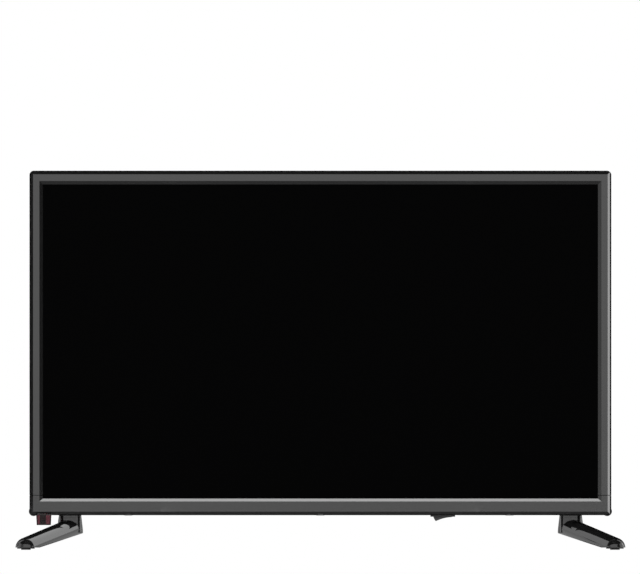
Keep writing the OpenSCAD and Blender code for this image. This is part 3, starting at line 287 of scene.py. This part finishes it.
# Painted reflections on each leg: a glowing sheet in front of the rail for the bright flank, a black one
# beside it for the ridge, a black one on the floor for the leg's lower edge, and a glowing one under the
# rail
def make_foot_painted_reflections(side, name, level, ridge):
    ridge_top, ridge_front, ridge_crown = ridge
    forward = (0, -1, 0.1)
    bright = (
        FLANK_LOW,
        (0.26, RAIL_UNDER),
        (FLANK_INNER, RAIL_UNDER),
        (FLANK_INNER, FLANK_TOP),
        (ridge_top, FLANK_TOP),
    )
    painted_reflection_plate("painted_bright_reflection_flank_" + name, [(side * x, RAIL_FRONT, z) for x, z in bright], forward, level)
    dark = (FLANK_LOW, (ridge_top, FLANK_TOP), (RIDGE_OUTER, FLANK_TOP), (RIDGE_OUTER, FLANK_LOW[1]))
    painted_reflection_plate("painted_dark_reflection_ridge_" + name, [(side * x, RAIL_FRONT, z) for x, z in dark], forward, DARK_REFLECTION)
    ground = ((0.372, -0.074), (0.352, -0.083), (0.295, -0.03), (0.295, 0.0), (0.312, 0.0))
    above = (side * 0.35, -0.05, 1)
    painted_reflection_plate("painted_dark_reflection_leg_" + name, [(side * x, y, LEG_SHADE) for x, y in ground], above, DARK_REFLECTION)
    under = (
        (ridge_front, RAIL_FRONT),
        (ridge_crown, CROWN_EDGE),
        (CROWN_INNER, CROWN_EDGE),
        (CROWN_INNER, UNDER_BACK),
        (UNDER_INNER, UNDER_BACK),
        (UNDER_INNER, RAIL_FRONT),
    )
    below = (side * 0.3, 0, 0)
    painted_reflection_plate("painted_bright_reflection_under_" + name, [(side * x, y, RAIL_UNDER) for x, y in under], below, level)


# All the painted reflections: far off, at the rail, and at each foot
def make_painted_reflections():
    make_far_painted_reflections()
    make_rail_painted_reflections()
    for side, name, level, ridge in FOOT_REFLECTIONS:
        make_neck_painted_reflections(side, name)
        make_foot_painted_reflections(side, name, level, ridge)


# Floor: plain and pale, with the set's shadow
FLOOR_COLOUR = (0.86, 0.86, 0.86)
FLOOR_HALF = 6.0
FLOOR_HEIGHT = -0.0004


def make_floor():
    mesh = bpy.data.meshes.new("floor")
    s = FLOOR_HALF
    mesh.from_pydata([(-s, -s, 0), (s, -s, 0), (s, s, 0), (-s, s, 0)], [], [(0, 1, 2, 3)])
    floor = bpy.data.objects.new("floor", mesh)
    scene.collection.objects.link(floor)
    floor.location = (0, 0, FLOOR_HEIGHT)
    material = bpy.data.materials.new("floor")
    material.use_nodes = True
    tree = Tree(material.node_tree)
    front = tree.add("ShaderNodeBsdfDiffuse", Color=colour(FLOOR_COLOUR))
    one_sided(tree, front)
    mesh.materials.append(material)


# Materials: every one has its own grain, tone and gloss variation
NOISE_LOW = 0.3
NOISE_HIGH = 0.7
LEAST_ROUGH = 0.02
GRAIN_DEPTH = 0.0002


def surface(name, base, rough, grain, bump, tone=0.08, gloss_spread=0.06, metal=0.0, specular=0.5,
            stretch=(1, 1, 1), large=9.0, edge=0.0):
    material = bpy.data.materials.new(name)
    material.use_nodes = True
    tree = Tree(material.node_tree)
    place = tree.add("ShaderNodeTexCoord")
    mapping = tree.add("ShaderNodeMapping")
    mapping.inputs["Scale"].default_value = stretch
    tree.link(place.outputs["Object"], mapping.inputs["Vector"])
    cloud = tree.add("ShaderNodeTexNoise", Scale=large, Detail=4.0, Roughness=0.55)
    fine = tree.add("ShaderNodeTexNoise", Scale=grain, Detail=3.0, Roughness=0.6)
    tree.link(mapping.outputs[0], cloud.inputs["Vector"])
    tree.link(mapping.outputs[0], fine.inputs["Vector"])
    ramp = tree.add("ShaderNodeValToRGB")
    ramp.color_ramp.elements[0].position = NOISE_LOW
    ramp.color_ramp.elements[0].color = colour(scaled(base, 1 - tone))
    ramp.color_ramp.elements[1].position = NOISE_HIGH
    ramp.color_ramp.elements[1].color = colour(scaled(base, 1 + tone))
    tree.link(cloud.outputs["Fac"], ramp.inputs["Fac"])
    gloss = tree.add("ShaderNodeMapRange")
    gloss.inputs["From Min"].default_value = NOISE_LOW
    gloss.inputs["From Max"].default_value = NOISE_HIGH
    gloss.inputs["To Min"].default_value = max(LEAST_ROUGH, rough - gloss_spread)
    gloss.inputs["To Max"].default_value = min(1.0, rough + gloss_spread)
    tree.link(fine.outputs["Fac"], gloss.inputs["Value"])
    raised = tree.add("ShaderNodeBump", Strength=bump, Distance=GRAIN_DEPTH)
    tree.link(fine.outputs["Fac"], raised.inputs["Height"])
    if edge > 0:
        softened = tree.add("ShaderNodeBevel", samples=6, Radius=edge)
        tree.link(softened.outputs["Normal"], raised.inputs["Normal"])
    shader = tree.add("ShaderNodeBsdfPrincipled", Metallic=metal)
    shader.inputs["Specular IOR Level"].default_value = specular
    tree.link(ramp.outputs["Color"], shader.inputs["Base Color"])
    tree.link(gloss.outputs["Result"], shader.inputs["Roughness"])
    tree.link(raised.outputs["Normal"], shader.inputs["Normal"])
    out = tree.add("ShaderNodeOutputMaterial")
    tree.link(shader.outputs[0], out.inputs["Surface"])
    return material


# The receiver window: clear plastic with its dark red in the volume
WINDOW_BASE = (0.94, 0.92, 0.92)
WINDOW_IOR = 1.5
WINDOW_SPECULAR = 0.06


def tinted_window(name, tint, density, rough, grain):
    material = surface(name, WINDOW_BASE, rough, grain, 0.03, tone=0.02, gloss_spread=0.02)
    tree = material.node_tree
    shader = tree.nodes["Principled BSDF"]
    shader.inputs["Transmission Weight"].default_value = 1.0
    shader.inputs["IOR"].default_value = WINDOW_IOR
    shader.inputs["Specular IOR Level"].default_value = WINDOW_SPECULAR
    depth = tree.nodes.new("ShaderNodeVolumeAbsorption")
    depth.inputs["Color"].default_value = colour(tint)
    depth.inputs["Density"].default_value = density
    tree.links.new(depth.outputs[0], tree.nodes["Material Output"].inputs["Volume"])
    return material


# One material for each slot: base colour, roughness, grain scale and grain strength, then what differs
def slot_materials():
    return {
        "bezel_plastic": surface("bezel_plastic", (0.011, 0.011, 0.011), 0.13, 2600, 0.02, specular=1.0,
                                 gloss_spread=0.02),
        "cover_plastic": surface("cover_plastic", (0.056, 0.056, 0.057), 0.5, 1500, 0.35, specular=0.22,
                                 edge=0.0016),
        "screen_glass": surface("screen_glass", (0.0002, 0.0002, 0.00025), 0.2, 2600, 0.02, specular=0.02),
        "frame_plastic": surface("frame_plastic", (0.02, 0.02, 0.02), 0.6, 900, 0.2),
        "optical_film": surface("optical_film", (0.85, 0.86, 0.88), 0.4, 900, 0.05),
        "diffuser_plastic": surface("diffuser_plastic", (0.88, 0.88, 0.85), 0.5, 900, 0.1),
        "reflector_white": surface("reflector_white", (0.9, 0.9, 0.9), 0.6, 900, 0.1),
        "strip_board": surface("strip_board", (0.8, 0.8, 0.78), 0.45, 600, 0.1),
        "lens_clear": surface("lens_clear", (0.8, 0.85, 0.9), 0.1, 400, 0.02),
        "pan_steel": surface("pan_steel", (0.6, 0.6, 0.6), 0.4, 60, 0.1, metal=1.0, large=40),
        "circuit_green": surface("circuit_green", (0.02, 0.12, 0.05), 0.4, 500, 0.2, tone=0.25),
        "circuit_amber": surface("circuit_amber", (0.25, 0.16, 0.05), 0.5, 500, 0.2, tone=0.2),
        "ribbon_white": surface("ribbon_white", (0.75, 0.75, 0.72), 0.4, 300, 0.1),
        "chip_black": surface("chip_black", (0.02, 0.02, 0.02), 0.5, 2000, 0.3),
        "sink_aluminium": surface("sink_aluminium", (0.6, 0.6, 0.62), 0.35, 300, 0.2, metal=1.0,
                                  stretch=(1, 1, 0.05)),
        "can_steel": surface("can_steel", (0.65, 0.65, 0.63), 0.3, 200, 0.1, metal=1.0),
        "socket_steel": surface("socket_steel", (0.6, 0.6, 0.6), 0.25, 300, 0.1, metal=1.0),
        "socket_black": surface("socket_black", (0.02, 0.02, 0.02), 0.5, 1500, 0.25),
        "aerial_nickel": surface("aerial_nickel", (0.55, 0.5, 0.4), 0.25, 300, 0.1, metal=1.0),
        "core_ferrite": surface("core_ferrite", (0.08, 0.07, 0.06), 0.6, 800, 0.4),
        "capacitor_sleeve": surface("capacitor_sleeve", (0.02, 0.03, 0.08), 0.25, 500, 0.1),
        "switch_black": surface("switch_black", (0.03, 0.03, 0.03), 0.35, 1500, 0.2),
        "rocker_black": surface("rocker_black", (0.06, 0.06, 0.06), 0.3, 1500, 0.15),
        "terminal_brass": surface("terminal_brass", (0.6, 0.5, 0.25), 0.3, 300, 0.1, metal=1.0),
        "ir_red": tinted_window("ir_red", (0.436, 0.053, 0.156), 1360, 0.06, 900),
        "speaker_plastic": surface("speaker_plastic", (0.025, 0.025, 0.025), 0.6, 900, 0.3),
        "cone_paper": surface("cone_paper", (0.03, 0.03, 0.03), 0.9, 600, 0.5),
        "magnet_iron": surface("magnet_iron", (0.2, 0.2, 0.2), 0.5, 300, 0.2, metal=1.0),
        "foot_gloss": surface("foot_gloss", (0.011, 0.011, 0.011), 0.07, 2600, 0.01, specular=0.9,
                              gloss_spread=0.02, edge=0.0014),
        "pad_rubber": surface("pad_rubber", (0.012, 0.012, 0.012), 0.75, 1500, 0.5),
        "bracket_steel": surface("bracket_steel", (0.55, 0.55, 0.55), 0.35, 200, 0.1, metal=1.0),
        "screw_steel": surface("screw_steel", (0.12, 0.12, 0.12), 0.35, 600, 0.1, metal=1.0),
        "board_fixings": surface("board_fixings", (0.6, 0.5, 0.3), 0.3, 300, 0.1, metal=1.0),
    }


def dress_nodes():
    materials = slot_materials()
    for part in frame["record"]["subparts"]:
        mesh = nodes[part["node"]].data
        mesh.materials.clear()
        mesh.materials.append(materials[part["material_slot"]])


make_camera()
make_world()
make_lamps()
make_painted_reflections()
make_floor()
dress_nodes()
scene.view_settings.view_transform = "Standard"
